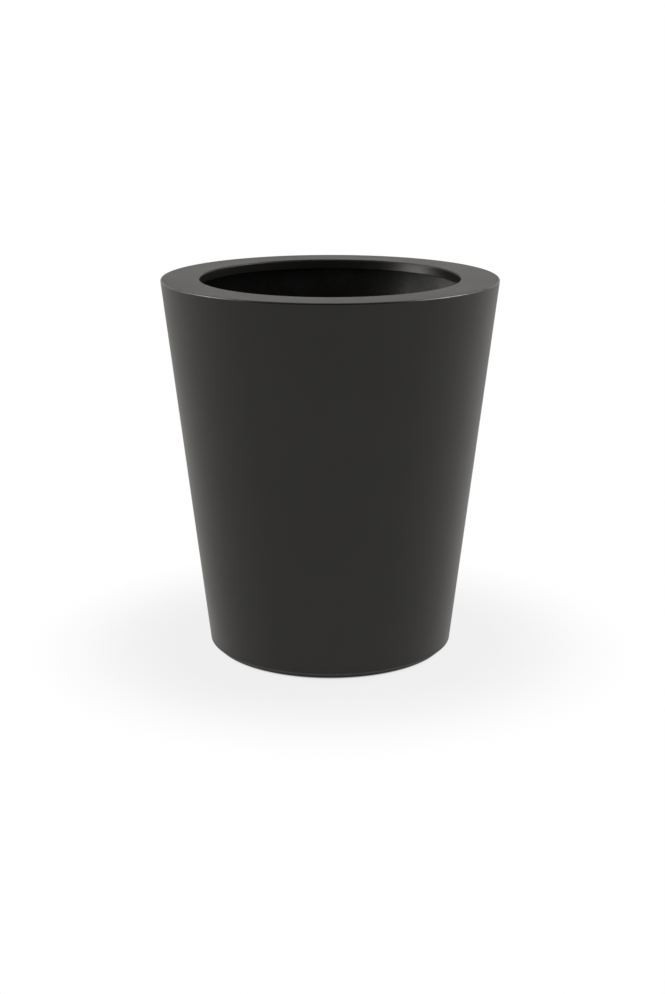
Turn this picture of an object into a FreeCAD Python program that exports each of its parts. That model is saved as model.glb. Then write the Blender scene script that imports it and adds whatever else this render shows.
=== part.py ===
"""Round tapered fibreglass planter: a moulded shell with a flat rim and a turned-down lip,
a stiffened floor, rubber foot pads and pull-out drain plugs. Millimetres, +Z up, with the
origin on the ground under the middle of the planter."""

import FreeCAD, Part
import os

import Sketcher

SIZES = {
    # Outer form of the moulded shell
    "top_diameter": 610.0,
    "base_diameter": 448.0,
    "shell_height": 687.0,
    "foot_setback": 10.0,
    "foot_rise": 10.0,
    "foot_edge_radius": 2.0,
    # Laminate, rim and the lip that turns down inside the mouth
    "wall_thickness": 5.0,
    "foot_inner_radius": 15.0,
    "rim_width": 70.0,
    "rim_outer_radius": 3.0,
    "rim_inner_radius": 3.0,
    "lip_drop": 18.0,
    "lip_edge_radius": 1.5,
    "laminate_corner_radius": 4.0,
    # Board that stiffens the floor, and the resin cove that beds its edge
    "board_thickness": 12.0,
    "board_edge_gap": 4.0,
    "cove_rise": 16.0,
    "cove_lap": 12.0,
    "cove_radius": 50.0,
    # Drain holes through shell and board
    "drain_count": 4,
    "drain_hole_diameter": 25.0,
    "drain_circle_diameter": 210.0,
    # Rubber plugs that close the drain holes from inside
    "plug_clearance": 0.3,
    "plug_setback": 1.0,
    "plug_lead": 3.0,
    "plug_groove_depth": 1.5,
    "plug_rib_length": 4.0,
    "plug_wall": 5.0,
    "plug_hollow_depth": 10.0,
    "plug_head_lap": 6.5,
    "plug_head_thickness": 4.0,
    "plug_head_round": 1.8,
    "knob_neck_diameter": 11.0,
    "knob_neck_length": 6.0,
    "knob_diameter": 18.0,
    "knob_thickness": 6.0,
    "knob_round": 2.5,
    "knob_neck_round": 2.0,
    # Rubber pads bonded under the foot
    "pad_count": 4,
    "pad_diameter": 36.0,
    "pad_thickness": 3.0,
    "pad_edge_radius": 1.2,
    "pad_margin": 6.0,
}

# Places that follow from the sizes, each as an expression on the sheet and on the places above it
PLACES = {
    "lean": "atan((sizes.top_diameter - sizes.base_diameter) / 2 / sizes.shell_height)",
    "base_radius": "sizes.base_diameter / 2",
    "top_radius": "sizes.top_diameter / 2",
    "mouth_radius": "top_radius - sizes.rim_width",
    "wall_inset": "sizes.wall_thickness / cos(lean)",
    "foot_low_radius": "base_radius - sizes.foot_setback",
    "foot_top_radius": "base_radius + sizes.foot_rise * tan(lean)",
    "inner_foot_corner": "base_radius - wall_inset + sizes.wall_thickness * tan(lean)",
    "inner_flat_radius": "inner_foot_corner - sizes.foot_inner_radius / tan((90 + lean) / 2)",
    "foot_bend_centre": "sizes.wall_thickness + sizes.foot_inner_radius",
    "foot_bend_radius": "inner_flat_radius + sizes.foot_inner_radius * cos(lean)",
    "foot_bend_height": "foot_bend_centre - sizes.foot_inner_radius * sin(lean)",
    "lip_underside": "sizes.shell_height - sizes.lip_drop",
    "lip_outer_radius": "mouth_radius + sizes.wall_thickness",
    "rim_underside": "sizes.shell_height - sizes.wall_thickness",
    "inner_rim_corner": "base_radius - wall_inset + rim_underside * tan(lean)",
    "board_radius": "inner_flat_radius - sizes.board_edge_gap",
    "floor_level": "sizes.wall_thickness + sizes.board_thickness",
    "cove_top": "floor_level + sizes.cove_rise",
    "cove_top_radius": "base_radius - wall_inset + cove_top * tan(lean)",
    "cove_foot_radius": "board_radius - sizes.cove_lap",
    "cove_centre_level": "floor_level + sizes.cove_radius",
    "drain_hole_radius": "sizes.drain_hole_diameter / 2",
    "drain_circle_radius": "sizes.drain_circle_diameter / 2",
    "plug_rib_radius": "drain_hole_radius - sizes.plug_clearance",
    "plug_groove_radius": "plug_rib_radius - sizes.plug_groove_depth",
    "plug_nose_radius": "plug_rib_radius - sizes.plug_lead / 2",
    "plug_hollow_radius": "plug_groove_radius - sizes.plug_wall",
    "plug_hollow_top": "sizes.plug_setback + sizes.plug_hollow_depth",
    "plug_head_radius": "drain_hole_radius + sizes.plug_head_lap",
    "plug_lead_end": "sizes.plug_setback + sizes.plug_lead",
    "plug_rib_end": "plug_lead_end + sizes.plug_rib_length",
    "plug_seat_rib": "floor_level - sizes.plug_rib_length",
    "plug_head_top": "floor_level + sizes.plug_head_thickness",
    "knob_neck_radius": "sizes.knob_neck_diameter / 2",
    "knob_radius": "sizes.knob_diameter / 2",
    "knob_underside": "plug_head_top + sizes.knob_neck_length",
    "knob_top": "knob_underside + sizes.knob_thickness",
    "pad_radius": "sizes.pad_diameter / 2",
    "pad_circle_radius": "foot_low_radius - pad_radius - sizes.pad_margin",
}

FULL_TURN = 360.0
DRAIN_START = 0.0
PAD_START = 45.0
EDGE_TOLERANCE = 1e-4


def make_sheet(doc):
    """The sheet of driving sizes, one named cell for each."""
    sheet = doc.addObject("Spreadsheet::Sheet", "sizes")
    for row, (name, value) in enumerate(SIZES.items(), start=1):
        sheet.set(f"A{row}", name)
        sheet.set(f"B{row}", str(value))
        sheet.setAlias(f"B{row}", name)
    doc.recompute()
    return sheet


def make_places(doc):
    """The set of derived places, bound to the sheet by expressions."""
    places = doc.addObject("App::VarSet", "places")
    for name, expression in PLACES.items():
        places.addProperty("App::PropertyFloat", name, "Places")
        places.setExpression(name, expression)
    doc.recompute()
    return places


def origin_plane(body, role):
    """One of the body's own origin planes, by its role."""
    return next(feature for feature in body.Origin.OriginFeatures if feature.Role == role)


def new_sketch(body, name, role):
    """An empty sketch on one of the body's origin planes."""
    sketch = body.newObject("Sketcher::SketchObject", name)
    sketch.AttachmentSupport = [(origin_plane(body, role), "")]
    sketch.MapMode = "FlatFace"
    return sketch


def bind(sketch, constraint, expression):
    """Adds a dimension and ties it to an expression."""
    index = sketch.addConstraint(constraint)
    sketch.setExpression(f"Constraints[{index}]", expression)


def pin_point(sketch, line, point, across, along):
    """Fixes one end of a line at two expressions, measured from the sketch's origin."""
    for kind, expression, axis in (("DistanceX", across, -2), ("DistanceY", along, -1)):
        if expression == "0":
            sketch.addConstraint(Sketcher.Constraint("PointOnObject", line, point, axis))
            continue
        value = sketch.evalExpression(expression)
        bind(sketch, Sketcher.Constraint(kind, -1, 1, line, point, value), expression)


def half_section(body, name, corners, bends=()):
    """Closed profile in the XZ plane through corners given as (radius, height) expressions.
    A bend (index, radius, centre) replaces the straight side that starts at that corner by an arc
    of that radius, with its centre near the given (radius, height)."""
    sketch = new_sketch(body, name, "XZ_Plane")
    points = [
        FreeCAD.Vector(float(sketch.evalExpression(across)), float(sketch.evalExpression(along)), 0)
        for across, along in corners
    ]
    arcs = {index: (radius, centre) for index, radius, centre in bends}
    ends = []
    for index, start in enumerate(points):
        end = points[(index + 1) % len(points)]
        if index not in arcs:
            side = sketch.addGeometry(Part.LineSegment(start, end))
            ends.append((side, 1, 2))
            continue
        radius, centre = arcs[index]
        size = float(sketch.evalExpression(radius))
        middle = FreeCAD.Vector(*(float(sketch.evalExpression(place)) for place in centre), 0)
        crown = middle + ((start + end) / 2 - middle).normalize() * size
        arc = Part.Arc(start, crown, end)
        side = sketch.addGeometry(arc)
        first = 1 if sketch.getPoint(side, 1).distanceToPoint(start) < EDGE_TOLERANCE else 2
        ends.append((side, first, 3 - first))
    for index, (across, along) in enumerate(corners):
        side, first, _ = ends[index]
        before, _, last = ends[index - 1]
        sketch.addConstraint(Sketcher.Constraint("Coincident", before, last, side, first))
        pin_point(sketch, side, first, across, along)
    for index, (radius, _) in arcs.items():
        size = float(sketch.evalExpression(radius))
        bind(sketch, Sketcher.Constraint("Radius", ends[index][0], size), radius)
    return sketch


def turn(body, name, sketch):
    """The profile turned a full circle about the body's vertical axis."""
    turned = body.newObject("PartDesign::Revolution", name)
    turned.Profile = sketch
    turned.ReferenceAxis = (sketch, ["V_Axis"])
    turned.Angle = FULL_TURN
    body.Document.recompute()
    return turned


def round_edges(body, name, radius, *rims):
    """Rounds the circular edges that lie at the given (radius, height) expressions."""
    base = body.Tip
    wanted = [[float(base.evalExpression(place)) for place in rim] for rim in rims]
    found = []
    for number, edge in enumerate(base.Shape.Edges, start=1):
        if not isinstance(edge.Curve, Part.Circle):
            continue
        size, height = edge.Curve.Radius, edge.Curve.Center.z
        if any(abs(size - r) + abs(height - z) < EDGE_TOLERANCE for r, z in wanted):
            found.append(f"Edge{number}")
    if len(found) != len(rims):
        raise RuntimeError(f"{name}: {len(found)} of {len(rims)} edges found")
    rounded = body.newObject("PartDesign::Fillet", name)
    rounded.Base = (base, found)
    rounded.setExpression("Radius", radius)
    body.Document.recompute()
    return rounded


def drill_drains(body, depth):
    """Drain holes up through the body's underside, evenly spaced on their circle."""
    sketch = new_sketch(body, f"{body.Name}_drain", "XY_Plane")
    centre = FreeCAD.Vector(float(sketch.evalExpression("places.drain_circle_radius")), 0, 0)
    radius = float(sketch.evalExpression("places.drain_hole_radius"))
    hole = sketch.addGeometry(Part.Circle(centre, FreeCAD.Vector(0, 0, 1), radius))
    pin_point(sketch, hole, 3, "places.drain_circle_radius", "0")
    bind(sketch, Sketcher.Constraint("Radius", hole, radius), "places.drain_hole_radius")
    pocket = body.newObject("PartDesign::Pocket", f"{body.Name}_drain_hole")
    pocket.Profile = sketch
    pocket.Reversed = True
    pocket.setExpression("Length", depth)
    body.Document.recompute()
    pattern = body.newObject("PartDesign::PolarPattern", f"{body.Name}_drain_holes")
    pattern.Originals = [pocket]
    pattern.Axis = (sketch, ["N_Axis"])
    pattern.Angle = FULL_TURN
    pattern.setExpression("Occurrences", "sizes.drain_count")
    body.Tip = pattern
    body.Document.recompute()


def stand(body, height, radius="0", angle=0.0):
    """Places a body at a height, and out from the axis at an angle in degrees."""
    body.setExpression("Placement.Base.z", height)
    if radius != "0":
        body.setExpression("Placement.Base.x", f"{radius} * cos({angle} deg)")
        body.setExpression("Placement.Base.y", f"{radius} * sin({angle} deg)")


def make_shell(doc):
    """The moulding: floor skin, bevelled foot, leaning wall, flat rim and turned-down lip."""
    body = doc.addObject("PartDesign::Body", "outer_shell")
    profile = half_section(body, "shell_profile", [
        ("0", "0"),
        ("places.foot_low_radius", "0"),
        ("places.foot_top_radius", "sizes.foot_rise"),
        ("places.top_radius", "sizes.shell_height"),
        ("places.mouth_radius", "sizes.shell_height"),
        ("places.mouth_radius", "places.lip_underside"),
        ("places.lip_outer_radius", "places.lip_underside"),
        ("places.lip_outer_radius", "places.rim_underside"),
        ("places.inner_rim_corner", "places.rim_underside"),
        ("places.inner_foot_corner", "sizes.wall_thickness"),
        ("0", "sizes.wall_thickness"),
    ])
    turn(body, "shell_turned", profile)
    round_edges(body, "foot_edges", "sizes.foot_edge_radius",
                ("places.foot_low_radius", "0"), ("places.foot_top_radius", "sizes.foot_rise"))
    round_edges(body, "foot_inner_round", "sizes.foot_inner_radius",
                ("places.inner_foot_corner", "sizes.wall_thickness"))
    round_edges(body, "rim_outer_round", "sizes.rim_outer_radius",
                ("places.top_radius", "sizes.shell_height"))
    round_edges(body, "rim_inner_round", "sizes.rim_inner_radius",
                ("places.mouth_radius", "sizes.shell_height"))
    round_edges(body, "laminate_corners", "sizes.laminate_corner_radius",
                ("places.lip_outer_radius", "places.rim_underside"),
                ("places.inner_rim_corner", "places.rim_underside"))
    round_edges(body, "lip_edge", "sizes.lip_edge_radius",
                ("places.mouth_radius", "places.lip_underside"),
                ("places.lip_outer_radius", "places.lip_underside"))
    drill_drains(body, "sizes.wall_thickness")
    stand(body, "sizes.pad_thickness")
    return body


def make_board(doc):
    """The round board laminated onto the floor skin, with the same drain holes."""
    body = doc.addObject("PartDesign::Body", "floor_board")
    profile = half_section(body, "board_profile", [
        ("0", "0"),
        ("places.board_radius", "0"),
        ("places.board_radius", "sizes.board_thickness"),
        ("0", "sizes.board_thickness"),
    ])
    turn(body, "board_turned", profile)
    drill_drains(body, "sizes.board_thickness")
    stand(body, "sizes.pad_thickness + sizes.wall_thickness")
    return body


def make_cove(doc):
    """The resin cove that fills the gap round the board and sweeps up the wall."""
    body = doc.addObject("PartDesign::Body", "floor_cove")
    profile = half_section(body, "cove_profile", [
        ("places.board_radius", "sizes.wall_thickness"),
        ("places.inner_flat_radius", "sizes.wall_thickness"),
        ("places.foot_bend_radius", "places.foot_bend_height"),
        ("places.cove_top_radius", "places.cove_top"),
        ("places.cove_foot_radius", "places.floor_level"),
        ("places.board_radius", "places.floor_level"),
    ], bends=[
        (1, "sizes.foot_inner_radius", ("places.inner_flat_radius", "places.foot_bend_centre")),
        (3, "sizes.cove_radius", ("places.cove_foot_radius", "places.cove_centre_level")),
    ])
    turn(body, "cove_turned", profile)
    stand(body, "sizes.pad_thickness")
    return body


def make_plug(doc, number, angle):
    """A ribbed rubber stopper, hollow below, with a sealing head and a knob to pull it by."""
    body = doc.addObject("PartDesign::Body", f"drain_plug_{number}")
    profile = half_section(body, f"plug_{number}_profile", [
        ("0", "places.plug_hollow_top"),
        ("places.plug_hollow_radius", "places.plug_hollow_top"),
        ("places.plug_hollow_radius", "sizes.plug_setback"),
        ("places.plug_nose_radius", "sizes.plug_setback"),
        ("places.plug_rib_radius", "places.plug_lead_end"),
        ("places.plug_rib_radius", "places.plug_rib_end"),
        ("places.plug_groove_radius", "places.plug_rib_end"),
        ("places.plug_groove_radius", "places.plug_seat_rib"),
        ("places.plug_rib_radius", "places.plug_seat_rib"),
        ("places.plug_rib_radius", "places.floor_level"),
        ("places.plug_head_radius", "places.floor_level"),
        ("places.plug_head_radius", "places.plug_head_top"),
        ("places.knob_neck_radius", "places.plug_head_top"),
        ("places.knob_neck_radius", "places.knob_underside"),
        ("places.knob_radius", "places.knob_underside"),
        ("places.knob_radius", "places.knob_top"),
        ("0", "places.knob_top"),
    ])
    turn(body, f"plug_{number}_turned", profile)
    round_edges(body, f"plug_{number}_head_round", "sizes.plug_head_round",
                ("places.plug_head_radius", "places.plug_head_top"))
    round_edges(body, f"plug_{number}_knob_round", "sizes.knob_round",
                ("places.knob_radius", "places.knob_top"), ("places.knob_radius", "places.knob_underside"))
    round_edges(body, f"plug_{number}_neck_round", "sizes.knob_neck_round",
                ("places.knob_neck_radius", "places.plug_head_top"),
                ("places.knob_neck_radius", "places.knob_underside"))
    stand(body, "sizes.pad_thickness", "places.drain_circle_radius", angle)
    return body


def make_pad(doc, number, angle):
    """A flat rubber disc bonded under the foot, with a rounded lower edge."""
    body = doc.addObject("PartDesign::Body", f"foot_pad_{number}")
    profile = half_section(body, f"pad_{number}_profile", [
        ("0", "0"),
        ("places.pad_radius", "0"),
        ("places.pad_radius", "sizes.pad_thickness"),
        ("0", "sizes.pad_thickness"),
    ])
    turn(body, f"pad_{number}_turned", profile)
    round_edges(body, f"pad_{number}_edge", "sizes.pad_edge_radius", ("places.pad_radius", "0"))
    stand(body, "0", "places.pad_circle_radius", angle)
    return body


def check(doc, parts):
    """Stops the script if a feature failed or a piece isn't one valid solid."""
    failed = [item.Name for item in doc.Objects if {"Invalid", "Error"} & set(item.State)]
    if failed:
        raise RuntimeError(f"failed features: {failed}")
    for part in parts:
        shape = part.Shape
        if shape.isNull() or not shape.isValid() or len(shape.Solids) != 1:
            raise RuntimeError(f"{part.Label} is not one valid solid")


def main():
    doc = FreeCAD.newDocument("planter")
    sheet = make_sheet(doc)
    make_places(doc)
    drains, pads = int(sheet.drain_count), int(sheet.pad_count)
    parts = [make_shell(doc), make_board(doc), make_cove(doc)]
    parts += [make_plug(doc, k + 1, DRAIN_START + k * FULL_TURN / drains) for k in range(drains)]
    parts += [make_pad(doc, k + 1, PAD_START + k * FULL_TURN / pads) for k in range(pads)]
    doc.recompute()
    check(doc, parts)
    os.makedirs("parts", exist_ok=True)
    for part in parts:
        part.Shape.exportStep(f"parts/{part.Label}.step")
        print(f"{part.Label:14s} volume {part.Shape.Volume:12.1f}")


main()
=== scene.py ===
import math

import bmesh
import bpy
import numpy as np
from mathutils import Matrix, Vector


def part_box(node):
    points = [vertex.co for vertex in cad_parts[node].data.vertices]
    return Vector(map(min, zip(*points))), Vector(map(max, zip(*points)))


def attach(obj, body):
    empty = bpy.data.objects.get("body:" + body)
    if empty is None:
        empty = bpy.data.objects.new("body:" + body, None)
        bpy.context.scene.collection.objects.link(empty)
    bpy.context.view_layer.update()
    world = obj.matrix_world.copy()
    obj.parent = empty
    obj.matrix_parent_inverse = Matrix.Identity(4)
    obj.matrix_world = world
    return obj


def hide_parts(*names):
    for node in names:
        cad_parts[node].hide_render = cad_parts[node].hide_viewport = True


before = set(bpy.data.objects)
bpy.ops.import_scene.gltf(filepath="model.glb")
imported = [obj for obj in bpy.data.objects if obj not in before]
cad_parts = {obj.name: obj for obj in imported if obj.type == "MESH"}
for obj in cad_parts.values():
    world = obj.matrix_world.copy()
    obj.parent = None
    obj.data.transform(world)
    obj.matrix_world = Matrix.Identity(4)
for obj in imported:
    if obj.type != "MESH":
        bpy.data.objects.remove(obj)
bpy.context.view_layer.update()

# Sizes of the moulded shell, in metres
TOP_RADIUS = 0.305
BASE_RADIUS = 0.224
WALL = 0.005
RIM_WIDTH = 0.070
RIM_ROUND = 0.003
LIP_DROP = 0.018
LIP_EDGE_ROUND = 0.0015
LAMINATE_ROUND = 0.004
FOOT_SETBACK = 0.010
FOOT_RISE = 0.010
FOOT_EDGE_ROUND = 0.002
FOOT_INNER_ROUND = 0.015

# Sizes of the floor, its cove and its drain holes
COVE_LAP = 0.012
COVE_ROUND = 0.050
DRAIN_CIRCLE = 0.105
DRAIN_RADIUS = 0.0125
DRAIN_COUNT = 4
DRAINED_RADIUS = 0.150

# Sizes of the drain plugs and foot pads
PLUG_CLEARANCE = 0.0003
PLUG_LEAD = 0.003
PLUG_GROOVE = 0.0015
PLUG_RIB = 0.004
PLUG_WALL = 0.005
PLUG_HOLLOW = 0.010
PLUG_HEAD_LAP = 0.0065
PLUG_HEAD = 0.004
PLUG_HEAD_ROUND = 0.0018
KNOB_NECK_RADIUS = 0.0055
KNOB_RADIUS = 0.009
KNOB_HEIGHT = 0.006
KNOB_ROUND = 0.0025
KNOB_NECK_ROUND = 0.002
KNOB_FLUTES = 18
KNOB_FLUTE_DEPTH = 0.0005
MOULDED_ROUND = 0.0005
PAD_ROUND = 0.0012

# Levels and radii that the frame gives
FOOT_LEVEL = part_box("outer_shell")[0].z
RIM_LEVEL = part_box("outer_shell")[1].z
BOARD_LOW, BOARD_HIGH = (corner.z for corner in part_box("floor_board"))
BOARD_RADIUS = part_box("floor_board")[1].x
COVE_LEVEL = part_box("floor_cove")[1].z

# What follows from them
LEAN = math.atan((TOP_RADIUS - BASE_RADIUS) / (RIM_LEVEL - FOOT_LEVEL))
WALL_INSET = WALL / math.cos(LEAN)
MOUTH_RADIUS = TOP_RADIUS - RIM_WIDTH
LIP_LEVEL = RIM_LEVEL - LIP_DROP
RIM_UNDERSIDE = RIM_LEVEL - WALL
FLOOR_SKIN = FOOT_LEVEL + WALL
FOOT_TOP = FOOT_LEVEL + FOOT_RISE
FOOT_LOW_RADIUS = BASE_RADIUS - FOOT_SETBACK
FOOT_TOP_RADIUS = BASE_RADIUS + FOOT_RISE * math.tan(LEAN)

# Fineness of the meshes
SEGMENTS = 256
SMALL_SEGMENTS = 108
ARC_STEP = math.radians(9)
LEAST_ARC_STEPS = 4
ROW_LENGTH = 0.030
SHEET_ROWS = 8
SPOKE_ROWS = 14
MERGE_DISTANCE = 1e-6
SHARP_ANGLE = math.radians(32)


def inner_radius(level):
    """Radius of the wall's inner face at a level: the outer cone drawn in by the wall's level width."""
    return BASE_RADIUS - WALL_INSET + (level - FOOT_LEVEL) * math.tan(LEAN)


def rows_between(start, end):
    """Points along a straight side, without its two ends, no further apart than a row's length."""
    count = int(np.linalg.norm(end - start) // ROW_LENGTH)
    return start + (end - start) * (np.arange(1, count + 1) / (count + 1))[:, None]


def swept_arc(centre, first, last, sweep):
    """Points that turn evenly about a centre from one arm to another: each is the sum of the two arms,
    weighted by the sines of the angles to the other, over the sine of the whole sweep."""
    share = np.linspace(0, 1, max(LEAST_ARC_STEPS, round(sweep / ARC_STEP)) + 1)[:, None]
    return centre + (np.sin((1 - share) * sweep) * first + np.sin(share * sweep) * last) / math.sin(sweep)


def rounded_corner(before, corner, after, radius):
    """Arc that rounds a corner, touching each side at the radius over the tangent of half the corner's
    angle, with its centre on the line that halves the corner."""
    if radius == 0:
        return corner[None]
    to_before = (before - corner) / np.linalg.norm(before - corner)
    to_after = (after - corner) / np.linalg.norm(after - corner)
    opening = math.acos(np.clip(to_before @ to_after, -1, 1))
    halving = (to_before + to_after) / np.linalg.norm(to_before + to_after)
    centre = corner + halving * radius / math.sin(opening / 2)
    reach = radius / math.tan(opening / 2)
    first = corner + to_before * reach - centre
    last = corner + to_after * reach - centre
    return swept_arc(centre, first, last, math.pi - opening)


def hollow_arc(start, end, radius):
    """Arc from start to end that bows to the right of the way. Its centre lies to the left of the chord's
    middle, by the root of the radius squared less the square of half the chord."""
    chord = end - start
    length = np.linalg.norm(chord)
    left = np.array([-chord[1], chord[0]]) / length
    centre = (start + end) / 2 + left * math.sqrt(radius ** 2 - length ** 2 / 4)
    return swept_arc(centre, start - centre, end - centre, 2 * math.asin(length / 2 / radius))


def outline(corners, closed=False):
    """Half section through corners (radius, level, rounding): every corner becomes its arc, and straight
    sides between arcs are divided into rows."""
    points = np.array([corner[:2] for corner in corners], float)
    arcs = []
    for index, (_, _, radius) in enumerate(corners):
        after = points[(index + 1) % len(points)]
        arcs.append(rounded_corner(points[index - 1], points[index], after, radius))
    stretches = []
    for index, arc in enumerate(arcs):
        stretches.append(arc)
        if closed or index < len(arcs) - 1:
            stretches.append(rows_between(arc[-1], arcs[(index + 1) % len(arcs)][0]))
    return np.concatenate(stretches)


def grid_faces(rows, columns, wrap_rows, wrap_columns):
    """Quads between neighbouring rows and columns of a grid, which may close on itself either way."""
    row = np.arange(rows if wrap_rows else rows - 1)[:, None]
    column = np.arange(columns if wrap_columns else columns - 1)[None]
    next_row, next_column = (row + 1) % rows, (column + 1) % columns
    corners = (row * columns + column, row * columns + next_column,
               next_row * columns + next_column, next_row * columns + column)
    return np.stack([corner.ravel() for corner in corners], 1)


def turned(profile, segments=SEGMENTS, closed=False, centre=(0, 0), flute=None):
    """Surface of revolution: x is the radius times the cosine of the turn, y the radius times its sine
    and z the level. A flute, a function of radius, level and turn, is taken off the radius."""
    turn = np.arange(segments)[None] * 2 * math.pi / segments
    radius, level = (np.repeat(part, segments, axis=1) for part in (profile[:, :1], profile[:, 1:]))
    if flute is not None:
        radius = radius - flute(radius, level, turn)
    points = np.stack([centre[0] + radius * np.cos(turn), centre[1] + radius * np.sin(turn), level], -1)
    return points.reshape(-1, 3), grid_faces(len(profile), segments, closed, True)


def drained_slab(radius, low, high):
    """Round slab with drain holes, as one sector round each hole. A sector's edge runs out along one
    spoke, round the slab's edge and back along the next spoke. Points go straight from that edge to the
    hole's edge on the underside, up the hole's wall, and straight out to the edge again on the top."""
    half = math.pi / DRAIN_COUNT
    spoke = np.linspace(0, radius, SPOKE_ROWS, endpoint=False)
    rim_turn = np.linspace(-half, half, SEGMENTS // DRAIN_COUNT, endpoint=False)
    reach = np.concatenate([spoke, np.full(rim_turn.size, radius), radius - spoke])
    turn = np.concatenate([np.full(spoke.size, -half), rim_turn, np.full(spoke.size, half)])
    edge = np.stack([reach * np.cos(turn), reach * np.sin(turn)], -1)
    middle = np.array([DRAIN_CIRCLE, 0.0])
    away = edge - middle
    hole = middle + DRAIN_RADIUS * away / np.linalg.norm(away, axis=1, keepdims=True)
    inwards = np.linspace(0, 1, SHEET_ROWS)
    share = np.concatenate([inwards, inwards[::-1]])[:, None, None]
    flat = edge * (1 - share) + hole * share
    level = np.repeat([low, high], SHEET_ROWS)[:, None] + np.zeros(len(edge))
    faces = grid_faces(2 * SHEET_ROWS, len(edge), False, True)
    sectors = []
    for angle in np.arange(DRAIN_COUNT) * 2 * half:
        x = flat[..., 0] * math.cos(angle) - flat[..., 1] * math.sin(angle)
        y = flat[..., 0] * math.sin(angle) + flat[..., 1] * math.cos(angle)
        sectors.append((np.stack([x, y, level], -1).reshape(-1, 3), faces))
    return sectors


def make_piece(name, grids, finishes, chooser=None):
    """One mesh from point grids: they are joined, seams and poles merged, faces turned outwards
    and edges over the sharp angle kept crisp. A chooser gives each face its finish by its centre."""
    starts = np.cumsum([0] + [len(points) for points, _ in grids[:-1]])
    points = np.concatenate([points for points, _ in grids])
    faces = np.concatenate([faces + start for (_, faces), start in zip(grids, starts)])
    mesh = bpy.data.meshes.new(name)
    mesh.from_pydata(points, [], faces)
    merged = bmesh.new()
    merged.from_mesh(mesh)
    bmesh.ops.remove_doubles(merged, verts=merged.verts, dist=MERGE_DISTANCE)
    bmesh.ops.dissolve_degenerate(merged, edges=merged.edges, dist=MERGE_DISTANCE)
    bmesh.ops.recalc_face_normals(merged, faces=merged.faces)
    merged.to_mesh(mesh)
    merged.free()
    for finish in finishes:
        mesh.materials.append(finish)
    if chooser is not None:
        centres = np.zeros(len(mesh.polygons) * 3)
        mesh.polygons.foreach_get("center", centres)
        mesh.polygons.foreach_set("material_index", chooser(centres.reshape(-1, 3)).astype(np.int32))
    mesh.polygons.foreach_set("use_smooth", np.ones(len(mesh.polygons), bool))
    mesh.set_sharp_from_angle(angle=SHARP_ANGLE)
    piece = bpy.data.objects.new(name, mesh)
    bpy.context.scene.collection.objects.link(piece)
    weighted = piece.modifiers.new("flat_faces_stay_flat", "WEIGHTED_NORMAL")
    weighted.keep_sharp = True
    return piece


def dress(piece, node, body):
    """The piece stands for a node of the frame and moves with its body."""
    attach(piece, body)
    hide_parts(node)


# Linear colours of the finishes
# The first grey is a painted highlight: a pale line along the top edge of the foot's bevel
FOOT_HIGHLIGHT_GREY = (0.0750, 0.0742, 0.0715, 1.0)
CHARCOAL = (0.0110, 0.0109, 0.0104, 1.0)
CHARCOAL_CLOUD = (0.0130, 0.0129, 0.0124, 1.0)
INSIDE_BLACK = (0.0120, 0.0119, 0.0113, 1.0)
INSIDE_STRAND = (0.0260, 0.0257, 0.0245, 1.0)
RESIN_BLACK = (0.0160, 0.0158, 0.0150, 1.0)
RUBBER_BLACK = (0.0300, 0.0300, 0.0305, 1.0)
RUBBER_BLOOM = (0.0520, 0.0520, 0.0528, 1.0)
DUST = (0.1500, 0.1450, 0.1350, 1.0)
FLOOR_WHITE = (0.72, 0.72, 0.72, 1.0)
WHITE = (1.0, 1.0, 1.0, 1.0)
WARM_WHITE = (1.0, 0.98, 0.94, 1.0)

# Indices of refraction of the finishes
GELCOAT_IOR = 1.42
FLOW_COAT_IOR = 1.40
RESIN_IOR = 1.52
RUBBER_IOR = 1.48
POLISH_IOR = 1.80

# Depths of relief, in metres
GELCOAT_PEEL_DEPTH = 0.00003
STRAND_DEPTH = 0.0006
DRAG_DEPTH = 0.0004
RUBBER_TOOTH_DEPTH = 0.00006

# Edges: a painted highlight runs as a pale line along the foot's edge, and hands polish the rim's edge
# towards its left and right
FOOT_HIGHLIGHT_REACH = 0.002
POLISH_REACH = 0.004
POLISH_ROUGHNESS = 0.33
GRIP_RANGE = (0.10, 0.17)

# Turns of the laminate's strands about x, y and z, and how far each strand is drawn out
STRAND_TURNS = [
    (0.0, 0.0, 0.3),
    (0.1, 0.0, 1.4),
    (-0.1, 0.0, 2.4),
    (1.4, 0.3, 0.0),
    (0.8, 0.2, 0.9),
    (-0.8, -0.2, 2.0),
]
STRAND_STRETCH = (1.0, 14.0, 1.0)

# Stretches of a noise, or of a normal's rise, over which a mask goes from its least to its most
CLOUD_RANGE = (0.30, 0.70)
STRAND_RANGE = (0.58, 0.74)
DRIFT_RANGE = (0.38, 0.64)
PATCH_RANGE = (0.25, 0.60)
SETTLING_RANGE = (0.50, 1.00)

# Scales of slow swells and drifts, as shares of the fine scale, and the least of each broken mask
SWELL_SCALE_SHARE = 0.11
DRIFT_SCALE_SHARE = 0.20
DRIFT_LEAST = 0.2
PATCH_LEAST = 0.4


def new_group(name, inputs, outputs):
    """Empty node group with named value inputs and value outputs."""
    group = bpy.data.node_groups.new(name, "ShaderNodeTree")
    for label, start in inputs.items():
        socket = group.interface.new_socket(label, in_out="INPUT", socket_type="NodeSocketFloat")
        socket.default_value = start
    for label in outputs:
        group.interface.new_socket(label, in_out="OUTPUT", socket_type="NodeSocketFloat")
    return group, group.nodes.new("NodeGroupInput"), group.nodes.new("NodeGroupOutput")


def add_node(tree, kind, links=None, **settings):
    """Adds a node, sets its properties, and fills its inputs from values or from other sockets."""
    node = tree.nodes.new(kind)
    for label, value in settings.items():
        setattr(node, label, value)
    for label, value in (links or {}).items():
        if isinstance(value, bpy.types.NodeSocket):
            tree.links.new(value, node.inputs[label])
        else:
            node.inputs[label].default_value = value
    return node


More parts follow.
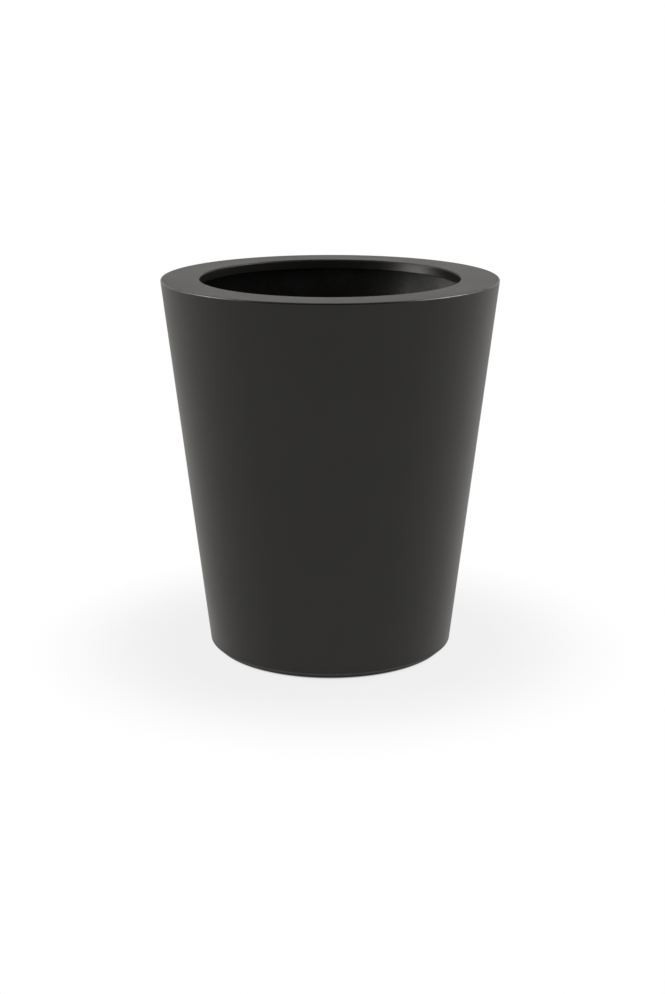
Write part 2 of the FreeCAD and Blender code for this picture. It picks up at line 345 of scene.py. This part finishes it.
def maths(tree, operation, first, second=0.0):
    """A Math node's result."""
    return add_node(tree, "ShaderNodeMath", {0: first, 1: second}, operation=operation).outputs[0]


def spread(tree, value, start, end=(0.0, 1.0)):
    """A value moved smoothly from one range into another."""
    low, high = start
    to_low, to_high = end
    links = {"Value": value, "From Min": low, "From Max": high, "To Min": to_low, "To Max": to_high}
    return add_node(tree, "ShaderNodeMapRange", links, interpolation_type="SMOOTHSTEP").outputs["Result"]


def noise(tree, place, scale, detail, roughness=0.5):
    """A noise texture's value at a place."""
    links = {"Vector": place, "Scale": scale, "Detail": detail, "Roughness": roughness}
    return add_node(tree, "ShaderNodeTexNoise", links).outputs["Fac"]


def mix_values(tree, share, first, second):
    """Two values mixed by a share; a Mix node keeps its values in its sockets 2 and 3."""
    return add_node(tree, "ShaderNodeMix", {0: share, 2: first, 3: second}).outputs[0]


def mix_colours(tree, share, first, second):
    """Two colours mixed by a share; a Mix node keeps its colours in its sockets 6 and 7."""
    return add_node(tree, "ShaderNodeMix", {0: share, 6: first, 7: second}, data_type="RGBA").outputs[2]


def parts_of(tree, vector):
    """The X, Y and Z of a vector."""
    return add_node(tree, "ShaderNodeSeparateXYZ", {"Vector": vector}).outputs


def object_place(tree):
    """Object coordinates, which are metres in the planter's own frame."""
    return add_node(tree, "ShaderNodeTexCoord").outputs["Object"]


def long_side(tree, first, second):
    """Long side of a right triangle: the root of the sum of two squares."""
    squares = [maths(tree, "MULTIPLY", side, side) for side in (first, second)]
    return maths(tree, "SQRT", maths(tree, "ADD", *squares))


def orange_peel_group():
    """Height of a moulded skin: a fine pebbled ripple over a slower swell."""
    group, given, result = new_group("orange_peel", {"Scale": 400.0, "Swell": 0.5}, ["Height"])
    place = object_place(group)
    fine = noise(group, place, given.outputs["Scale"], detail=1.0)
    slow_scale = maths(group, "MULTIPLY", given.outputs["Scale"], SWELL_SCALE_SHARE)
    slow = maths(group, "MULTIPLY", noise(group, place, slow_scale, detail=2.0), given.outputs["Swell"])
    group.links.new(maths(group, "ADD", fine, slow), result.inputs["Height"])
    return group


def handling_group():
    """Cloudy differences in a finish, from demoulding and handling, between a low and a high."""
    group, given, result = new_group("handling_clouds", {"Scale": 6.0, "Low": 0.0, "High": 1.0}, ["Value"])
    clouds = noise(group, object_place(group), given.outputs["Scale"], detail=5.0, roughness=0.6)
    value = spread(group, clouds, CLOUD_RANGE, (given.outputs["Low"], given.outputs["High"]))
    group.links.new(value, result.inputs["Value"])
    return group


def strand_mat_group():
    """Relief of a chopped-strand laminate under its coat: streaks of glass lying in several directions."""
    group, given, result = new_group("strand_mat", {"Scale": 90.0}, ["Height"])
    place = object_place(group)
    highest = 0.0
    for angles in STRAND_TURNS:
        links = {"Vector": place, "Rotation": angles, "Scale": STRAND_STRETCH}
        lain = add_node(group, "ShaderNodeMapping", links, vector_type="TEXTURE").outputs["Vector"]
        streaks = noise(group, lain, given.outputs["Scale"], detail=2.0, roughness=0.55)
        highest = maths(group, "MAXIMUM", streaks, highest)
    group.links.new(highest, result.inputs["Height"])
    return group


def settled_dust_group():
    """Mask of fine dust on faces that look up, broken into specks that lie in slow drifts."""
    group, given, result = new_group("settled_dust", {"Scale": 30.0, "Amount": 0.1}, ["Mask"])
    normal = add_node(group, "ShaderNodeNewGeometry").outputs["Normal"]
    facing = spread(group, parts_of(group, normal)["Z"], SETTLING_RANGE)
    place = object_place(group)
    specks = noise(group, place, given.outputs["Scale"], detail=6.0, roughness=0.65)
    slow_scale = maths(group, "MULTIPLY", given.outputs["Scale"], DRIFT_SCALE_SHARE)
    slow = noise(group, place, slow_scale, detail=4.0, roughness=0.6)
    drifts = spread(group, slow, DRIFT_RANGE, (DRIFT_LEAST, 1.0))
    laid = maths(group, "MULTIPLY", facing, maths(group, "MULTIPLY", specks, drifts))
    group.links.new(maths(group, "MULTIPLY", laid, given.outputs["Amount"]), result.inputs["Mask"])
    return group


def highlight_and_polish_edge_group():
    """Mask of a band along a moulded edge that runs round the planter, which carries the foot's painted
    highlight and the rim's polish: it fades with the distance, across radius and level, from the edge's
    circle, and is broken into patches along it."""
    inputs = {"Radius": 0.3, "Level": 0.0, "Reach": 0.002, "Scale": 40.0}
    group, given, result = new_group("highlight_and_polish_edge", inputs, ["Mask"])
    place = object_place(group)
    parts = parts_of(group, place)
    across = maths(group, "SUBTRACT", long_side(group, parts["X"], parts["Y"]), given.outputs["Radius"])
    along = maths(group, "SUBTRACT", parts["Z"], given.outputs["Level"])
    line = spread(group, long_side(group, across, along), (0.0, given.outputs["Reach"]), (1.0, 0.0))
    broken = noise(group, place, given.outputs["Scale"], detail=4.0)
    patches = spread(group, broken, PATCH_RANGE, (PATCH_LEAST, 1.0))
    group.links.new(maths(group, "MULTIPLY", line, patches), result.inputs["Mask"])
    return group


ORANGE_PEEL = orange_peel_group()
HIGHLIGHT_AND_POLISH_EDGE = highlight_and_polish_edge_group()
HANDLING = handling_group()
STRAND_MAT = strand_mat_group()
SETTLED_DUST = settled_dust_group()


def new_finish(name, ior):
    """A material with its tree and its shader, which reflects as a solid of that index does."""
    finish = bpy.data.materials.new(name)
    finish.use_nodes = True
    shader = finish.node_tree.nodes["Principled BSDF"]
    shader.inputs["IOR"].default_value = ior
    return finish, finish.node_tree, shader


def place_group(tree, group, **values):
    """The group placed in a material with its own values; gives its output."""
    node = tree.nodes.new("ShaderNodeGroup")
    node.node_tree = group
    for label, value in values.items():
        node.inputs[label].default_value = value
    return node.outputs[0]


def add_relief(tree, shader, height, depth):
    """Bump of a height map with a depth in metres."""
    bump = add_node(tree, "ShaderNodeBump", {"Height": height, "Distance": depth})
    tree.links.new(bump.outputs["Normal"], shader.inputs["Normal"])


def polish_grips(tree, shader):
    """Polishes the rim's outer edge, with a coat that comes in towards the planter's left and right."""
    edge = place_group(tree, HIGHLIGHT_AND_POLISH_EDGE, Radius=TOP_RADIUS, Level=RIM_LEVEL, Reach=POLISH_REACH)
    sideways = maths(tree, "ABSOLUTE", parts_of(tree, object_place(tree))["X"])
    polish = maths(tree, "MULTIPLY", edge, spread(tree, sideways, GRIP_RANGE))
    tree.links.new(polish, shader.inputs["Coat Weight"])
    shader.inputs["Coat IOR"].default_value = POLISH_IOR
    shader.inputs["Coat Roughness"].default_value = POLISH_ROUGHNESS


def gelcoat():
    """Satin charcoal gelcoat: faint clouds in colour and sheen, a fine orange peel and a little dust, with
    a painted highlight as a pale line along the foot's edge, and the rim's edge polished."""
    finish, tree, shader = new_finish("satin_gelcoat", GELCOAT_IOR)
    clouds = place_group(tree, HANDLING, Scale=9.0)
    # Painted highlight: a pale grey line along the top edge of the foot's bevel
    foot_highlight = place_group(tree, HIGHLIGHT_AND_POLISH_EDGE, Radius=FOOT_TOP_RADIUS, Level=FOOT_TOP, Reach=FOOT_HIGHLIGHT_REACH)
    dust = place_group(tree, SETTLED_DUST, Scale=45.0, Amount=0.012)
    colour = mix_colours(tree, clouds, CHARCOAL, CHARCOAL_CLOUD)
    colour = mix_colours(tree, foot_highlight, colour, FOOT_HIGHLIGHT_GREY)
    tree.links.new(mix_colours(tree, dust, colour, DUST), shader.inputs["Base Color"])
    sheen = place_group(tree, HANDLING, Scale=5.0, Low=0.35, High=0.39)
    tree.links.new(sheen, shader.inputs["Roughness"])
    polish_grips(tree, shader)
    peel = place_group(tree, ORANGE_PEEL, Scale=420.0, Swell=0.8)
    add_relief(tree, shader, peel, GELCOAT_PEEL_DEPTH)
    return finish


def inside_coat():
    """Black flow coat brushed over the bare laminate, which shows its strands through it."""
    finish, tree, shader = new_finish("inside_flow_coat", FLOW_COAT_IOR)
    strands = place_group(tree, STRAND_MAT, Scale=240.0)
    dust = place_group(tree, SETTLED_DUST, Scale=60.0, Amount=0.09)
    colour = mix_colours(tree, spread(tree, strands, STRAND_RANGE), INSIDE_BLACK, INSIDE_STRAND)
    tree.links.new(mix_colours(tree, dust, colour, DUST), shader.inputs["Base Color"])
    sheen = place_group(tree, HANDLING, Scale=14.0, Low=0.38, High=0.55)
    tree.links.new(sheen, shader.inputs["Roughness"])
    add_relief(tree, shader, strands, STRAND_DEPTH)
    return finish


def cove_resin():
    """Filled resin drawn round by a rounded tool: glossier than the coat, with soft drag marks."""
    finish, tree, shader = new_finish("cove_resin", RESIN_IOR)
    clouds = place_group(tree, HANDLING, Scale=30.0)
    colour = mix_colours(tree, clouds, RESIN_BLACK, INSIDE_STRAND)
    tree.links.new(colour, shader.inputs["Base Color"])
    sheen = place_group(tree, HANDLING, Scale=22.0, Low=0.28, High=0.46)
    tree.links.new(sheen, shader.inputs["Roughness"])
    drag = place_group(tree, ORANGE_PEEL, Scale=160.0, Swell=1.5)
    add_relief(tree, shader, drag, DRAG_DEPTH)
    return finish


def moulded_rubber():
    """Black moulded rubber: matte, with a grey bloom in patches, a little dust and a fine tooth."""
    finish, tree, shader = new_finish("moulded_rubber", RUBBER_IOR)
    bloom = place_group(tree, HANDLING, Scale=70.0)
    dust = place_group(tree, SETTLED_DUST, Scale=120.0, Amount=0.06)
    colour = mix_colours(tree, bloom, RUBBER_BLACK, RUBBER_BLOOM)
    tree.links.new(mix_colours(tree, dust, colour, DUST), shader.inputs["Base Color"])
    sheen = place_group(tree, HANDLING, Scale=50.0, Low=0.58, High=0.76)
    tree.links.new(sheen, shader.inputs["Roughness"])
    tooth = place_group(tree, ORANGE_PEEL, Scale=1400.0, Swell=0.4)
    add_relief(tree, shader, tooth, RUBBER_TOOTH_DEPTH)
    return finish


def coat_of_face(centres):
    """Finish of each face by its centre: 1, the inside coat, on the laminate's inner side, and 0, the
    gelcoat, elsewhere, which takes in the front of the lip."""
    radius, level = np.hypot(centres[:, 0], centres[:, 1]), centres[:, 2]
    bevel = np.interp(level, [FOOT_LEVEL, FOOT_TOP], [FOOT_LOW_RADIUS, FOOT_TOP_RADIUS], right=TOP_RADIUS)
    skin = np.minimum(inner_radius(level) + WALL_INSET, bevel)
    within = (radius < skin - WALL / 2) & (level > FOOT_LEVEL + WALL / 2)
    lip = (radius < MOUTH_RADIUS + WALL / 2) & (level > LIP_LEVEL - WALL)
    return within & ~lip & (level < RIM_LEVEL - WALL / 2)


def make_shell(outside, inside):
    """The moulding: floor skin with its drain holes, bevelled foot, leaning wall, flat rim and lip."""
    profile = outline([
        (DRAINED_RADIUS, FOOT_LEVEL, 0),
        (FOOT_LOW_RADIUS, FOOT_LEVEL, FOOT_EDGE_ROUND),
        (FOOT_TOP_RADIUS, FOOT_TOP, FOOT_EDGE_ROUND),
        (TOP_RADIUS, RIM_LEVEL, RIM_ROUND),
        (MOUTH_RADIUS, RIM_LEVEL, RIM_ROUND),
        (MOUTH_RADIUS, LIP_LEVEL, LIP_EDGE_ROUND),
        (MOUTH_RADIUS + WALL, LIP_LEVEL, LIP_EDGE_ROUND),
        (MOUTH_RADIUS + WALL, RIM_UNDERSIDE, LAMINATE_ROUND),
        (inner_radius(RIM_UNDERSIDE), RIM_UNDERSIDE, LAMINATE_ROUND),
        (inner_radius(FLOOR_SKIN), FLOOR_SKIN, FOOT_INNER_ROUND),
        (DRAINED_RADIUS, FLOOR_SKIN, 0),
    ])
    grids = [turned(profile)] + drained_slab(DRAINED_RADIUS, FOOT_LEVEL, FLOOR_SKIN)
    shell = make_piece("planter_shell", grids, [outside, inside], coat_of_face)
    dress(shell, "outer_shell", "planter")


def make_board(inside):
    """The floor board under its coat, with its edge eased and its drain holes open."""
    profile = outline([
        (DRAINED_RADIUS, BOARD_LOW, 0),
        (BOARD_RADIUS, BOARD_LOW, MOULDED_ROUND),
        (BOARD_RADIUS, BOARD_HIGH, MOULDED_ROUND),
        (DRAINED_RADIUS, BOARD_HIGH, 0),
    ])
    grids = [turned(profile)] + drained_slab(DRAINED_RADIUS, BOARD_LOW, BOARD_HIGH)
    board = make_piece("floor_board_coated", grids, [inside])
    dress(board, "floor_board", "planter")


def make_cove(resin):
    """The resin cove: it fills the gap round the board and sweeps up the wall in a hollow arc."""
    top = np.array([inner_radius(COVE_LEVEL), COVE_LEVEL])
    foot = np.array([BOARD_RADIUS - COVE_LAP, BOARD_HIGH])
    face = [(*point, 0) for point in hollow_arc(foot, top, COVE_ROUND)[::-1]]
    profile = outline([
        (BOARD_RADIUS, FLOOR_SKIN, 0),
        (inner_radius(FLOOR_SKIN), FLOOR_SKIN, FOOT_INNER_ROUND),
        *face,
        (BOARD_RADIUS, BOARD_HIGH, 0),
    ], closed=True)
    cove = make_piece("resin_cove", [turned(profile, closed=True)], [resin])
    dress(cove, "floor_cove", "planter")


def knob_flutes(radius, level, turn):
    """Grip flutes: a cosine wave round the knob's edge, faded out towards its middle and its neck."""
    outer = np.clip((radius - KNOB_NECK_RADIUS) / (KNOB_RADIUS - KNOB_NECK_RADIUS), 0, 1)
    on_knob = level > BOARD_HIGH + PLUG_HEAD + KNOB_NECK_ROUND
    return KNOB_FLUTE_DEPTH * (1 + np.cos(KNOB_FLUTES * turn)) * outer * on_knob


def make_plug(number, rubber):
    """A rubber stopper: hollow nose with a lead, two sealing ribs, flat head, neck and fluted knob."""
    node = f"drain_plug_{number}"
    low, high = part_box(node)
    rib = DRAIN_RADIUS - PLUG_CLEARANCE
    groove = rib - PLUG_GROOVE
    hollow = groove - PLUG_WALL
    head = DRAIN_RADIUS + PLUG_HEAD_LAP
    rib_end = low.z + PLUG_LEAD + PLUG_RIB
    head_top = BOARD_HIGH + PLUG_HEAD
    profile = outline([
        (0, low.z + PLUG_HOLLOW, 0),
        (hollow, low.z + PLUG_HOLLOW, MOULDED_ROUND),
        (hollow, low.z, MOULDED_ROUND),
        (rib - PLUG_LEAD / 2, low.z, MOULDED_ROUND),
        (rib, low.z + PLUG_LEAD, MOULDED_ROUND),
        (rib, rib_end, MOULDED_ROUND),
        (groove, rib_end, MOULDED_ROUND),
        (groove, BOARD_HIGH - PLUG_RIB, MOULDED_ROUND),
        (rib, BOARD_HIGH - PLUG_RIB, MOULDED_ROUND),
        (rib, BOARD_HIGH, 0),
        (head, BOARD_HIGH, MOULDED_ROUND),
        (head, head_top, PLUG_HEAD_ROUND),
        (KNOB_NECK_RADIUS, head_top, KNOB_NECK_ROUND),
        (KNOB_NECK_RADIUS, high.z - KNOB_HEIGHT, KNOB_NECK_ROUND),
        (KNOB_RADIUS, high.z - KNOB_HEIGHT, KNOB_ROUND),
        (KNOB_RADIUS, high.z, KNOB_ROUND),
        (0, high.z, 0),
    ])
    centre = (low + high) / 2
    grid = turned(profile, SMALL_SEGMENTS, centre=centre[:2], flute=knob_flutes)
    plug = make_piece(f"rubber_plug_{number}", [grid], [rubber])
    dress(plug, node, node)


def make_pad(number, rubber):
    """A rubber foot pad with a rounded lower edge."""
    node = f"foot_pad_{number}"
    low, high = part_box(node)
    radius = (high.x - low.x) / 2
    profile = outline([
        (0, high.z, 0),
        (radius, high.z, 0),
        (radius, low.z, PAD_ROUND),
        (0, low.z, 0),
    ])
    centre = (low + high) / 2
    grid = turned(profile, SMALL_SEGMENTS, centre=centre[:2])
    pad = make_piece(f"rubber_pad_{number}", [grid], [rubber])
    dress(pad, node, "planter")


# The camera's place in metres, its downward tilt and small turn, and its focal length in image rows
CAMERA_DISTANCE = 3.2201
CAMERA_HEIGHT = 1.1497
CAMERA_TILT = math.radians(15.173)
CAMERA_TURN = math.radians(0.0751)
FOCAL_ROWS = 1793.6
IMAGE_ROWS = 994
SENSOR_SIZE = 36.0

# Lamps as (name, place, aim, width, height, watts)
RIM_CENTRE = (0.0, 0.0, RIM_LEVEL)
SOFT_BOXES = [
    ("left_soft_box", (-1.95, 0.10, 2.35), RIM_CENTRE, 1.2, 1.4, 9.0),
    ("right_soft_box", (1.86, 0.42, 2.40), RIM_CENTRE, 0.9, 1.6, 15.0),
]
CARDS = [
    ("left_card", (-2.00, 0.43, 2.02), RIM_CENTRE, 1.1, 1.2, 20.0),
    ("right_card", (1.88, 0.27, 2.26), RIM_CENTRE, 1.3, 0.75, 24.0),
]
TOP_FILL = ("top_fill", (0.0, 0.0, 3.2), RIM_CENTRE, 0.50, 0.50, 1.1)
TOP_SPREAD = math.radians(4)
INSIDE_STRIP = ("inside_strip", (-0.16, 0.11, 0.630), (0.24, 0.16, 0.605), 0.17, 0.05, 0.047)
STRIP_SPREAD = math.radians(42)

# Levels of the soft light that comes from all round
HORIZON_LEVEL = 0.30
CEILING_LEVEL = 0.15

# What reflections see: levels, and the rises, depths and nearness over which one turns into another
BACKDROP_LEVEL = 0.73
ROOM_LEVEL = 0.03
FRONT_SHARE = 0.44
CEILING_RANGE = (0.25, 0.60)
BACKDROP_RANGE = (-0.50, 0.40)
OVERHEAD_LEVEL = 0.55
OVERHEAD_LEAN = math.radians(24)
OVERHEAD_RANGE = (0.84, 0.98)

# The floor: its grain, how far it is lifted to white, and the distances over which the lift comes in
FLOOR_RADIUS = 12.0
FLOOR_GRAIN_SCALE = 3.0
FLOOR_GRAIN_SHARE = 0.02
FLOOR_LIFT = (0.84, 1.00)
FLOOR_LIFT_RANGE = (0.28, 0.60)
FOOT_SHADE = 0.012
FLOOR_UNCOVERED_RANGE = (FOOT_LOW_RADIUS - FOOT_SHADE, FOOT_LOW_RADIUS)
FLOOR_REFLECTED_LIFT = 0.70
FLOOR_REFLECTED_RANGE = (0.20, 0.25)


def make_camera():
    """Camera at the photograph's viewing angle."""
    data = bpy.data.cameras.new("camera")
    data.sensor_width = SENSOR_SIZE
    data.lens = FOCAL_ROWS * SENSOR_SIZE / IMAGE_ROWS
    camera = bpy.data.objects.new("camera", data)
    camera.location = (0, -CAMERA_DISTANCE, FOOT_LEVEL + CAMERA_HEIGHT)
    camera.rotation_euler = (math.pi / 2 - CAMERA_TILT, 0, -CAMERA_TURN)
    bpy.context.scene.collection.objects.link(camera)
    bpy.context.scene.camera = camera


def make_lamp(name, place, target, width, height, watts):
    """Rectangular area lamp, turned to face a target."""
    data = bpy.data.lights.new(name, "AREA")
    data.shape = "RECTANGLE"
    data.size = width
    data.size_y = height
    data.energy = watts
    data.color = WARM_WHITE[:3]
    lamp = bpy.data.objects.new(name, data)
    lamp.location = place
    away = Vector(place) - Vector(target)
    lamp.rotation_euler = away.to_track_quat("Z", "Y").to_euler()
    lamp.visible_camera = False
    bpy.context.scene.collection.objects.link(lamp)
    return lamp


def make_lamps():
    """Soft boxes light the planter, and cards show only in its gloss. Two small lamps light its inside: a
    straight beam about as wide as the mouth, kept out of the gloss, and a strip facing the right wall."""
    for box in SOFT_BOXES:
        make_lamp(*box)
    for card in CARDS:
        make_lamp(*card).visible_diffuse = False
    top_fill = make_lamp(*TOP_FILL)
    top_fill.visible_glossy = False
    top_fill.data.shape = "ELLIPSE"
    top_fill.data.spread = TOP_SPREAD
    make_lamp(*INSIDE_STRIP).data.spread = STRIP_SPREAD


def reflected_room(tree, parts):
    """Level that reflections see: a pale band round the horizon, dimmer in front, under a dark ceiling
    with a soft glow overhead that leans to the back."""
    below_ceiling = spread(tree, parts["Z"], CEILING_RANGE, (1.0, 0.0))
    behind = spread(tree, parts["Y"], BACKDROP_RANGE, (FRONT_SHARE, 1.0))
    share = maths(tree, "MULTIPLY", below_ceiling, behind)
    band = mix_values(tree, share, ROOM_LEVEL, BACKDROP_LEVEL)
    upward = maths(tree, "MULTIPLY", parts["Z"], math.cos(OVERHEAD_LEAN))
    backward = maths(tree, "MULTIPLY", parts["Y"], math.sin(OVERHEAD_LEAN))
    nearness = maths(tree, "ADD", upward, backward)
    overhead = spread(tree, nearness, OVERHEAD_RANGE, (0.0, OVERHEAD_LEVEL))
    return maths(tree, "MAXIMUM", band, overhead)


def make_world():
    """White to the camera. Reflections see the room, and other light comes softly from all round."""
    world = bpy.data.worlds.new("studio")
    world.use_nodes = True
    tree = world.node_tree
    rays = add_node(tree, "ShaderNodeLightPath").outputs
    parts = parts_of(tree, add_node(tree, "ShaderNodeTexCoord").outputs["Generated"])
    mirrored = maths(tree, "MAXIMUM", rays["Is Glossy Ray"], rays["Is Transmission Ray"])
    ambient = spread(tree, parts["Z"], (0.0, 1.0), (HORIZON_LEVEL, CEILING_LEVEL))
    level = mix_values(tree, mirrored, ambient, reflected_room(tree, parts))
    seen = mix_values(tree, rays["Is Camera Ray"], level, 1.0)
    tint = mix_colours(tree, rays["Is Camera Ray"], WARM_WHITE, WHITE)
    tree.links.new(seen, tree.nodes["Background"].inputs["Strength"])
    tree.links.new(tint, tree.nodes["Background"].inputs["Color"])
    bpy.context.scene.world = world


def make_floor():
    """Plain pale floor disc that keeps the shadow. For the camera it is lifted towards white, less so near
    the planter and not at all under it. For other rays it is lifted less, from the foot outwards."""
    points, faces = turned(np.array([[0.0, 0.0], [FLOOR_RADIUS, 0.0]]), SMALL_SEGMENTS)
    finish = bpy.data.materials.new("pale_floor")
    finish.use_nodes = True
    tree = finish.node_tree
    tree.nodes.remove(tree.nodes["Principled BSDF"])
    to_camera = add_node(tree, "ShaderNodeLightPath").outputs["Is Camera Ray"]
    place = object_place(tree)
    clouds = noise(tree, place, FLOOR_GRAIN_SCALE, detail=2.0)
    grain = spread(tree, clouds, CLOUD_RANGE, (0.0, FLOOR_GRAIN_SHARE))
    colour = mix_colours(tree, grain, FLOOR_WHITE, WHITE)
    paint = add_node(tree, "ShaderNodeBsdfDiffuse", {"Color": colour}).outputs["BSDF"]
    tint = mix_colours(tree, to_camera, WARM_WHITE, WHITE)
    glow = add_node(tree, "ShaderNodeEmission", {"Color": tint, "Strength": 1.0}).outputs["Emission"]
    distance = add_node(tree, "ShaderNodeVectorMath", {0: place}, operation="LENGTH").outputs["Value"]
    beside = spread(tree, distance, FLOOR_LIFT_RANGE, FLOOR_LIFT)
    whiteness = maths(tree, "MULTIPLY", beside, spread(tree, distance, FLOOR_UNCOVERED_RANGE))
    reflected = spread(tree, distance, FLOOR_REFLECTED_RANGE, (0.0, FLOOR_REFLECTED_LIFT))
    lift = mix_values(tree, to_camera, reflected, whiteness)
    mixed = add_node(tree, "ShaderNodeMixShader", {0: lift, 1: paint, 2: glow}).outputs["Shader"]
    tree.links.new(mixed, tree.nodes["Material Output"].inputs["Surface"])
    floor = make_piece("studio_floor", [(points, faces)], [finish])


def main():
    """Builds the planter, its studio and its camera."""
    outside, inside, resin, rubber = gelcoat(), inside_coat(), cove_resin(), moulded_rubber()
    make_shell(outside, inside)
    make_board(inside)
    make_cove(resin)
    for number in range(1, DRAIN_COUNT + 1):
        make_plug(number, rubber)
        make_pad(number, rubber)
    make_floor()
    make_world()
    make_lamps()
    make_camera()
    bpy.context.scene.view_settings.view_transform = "Standard"


main()
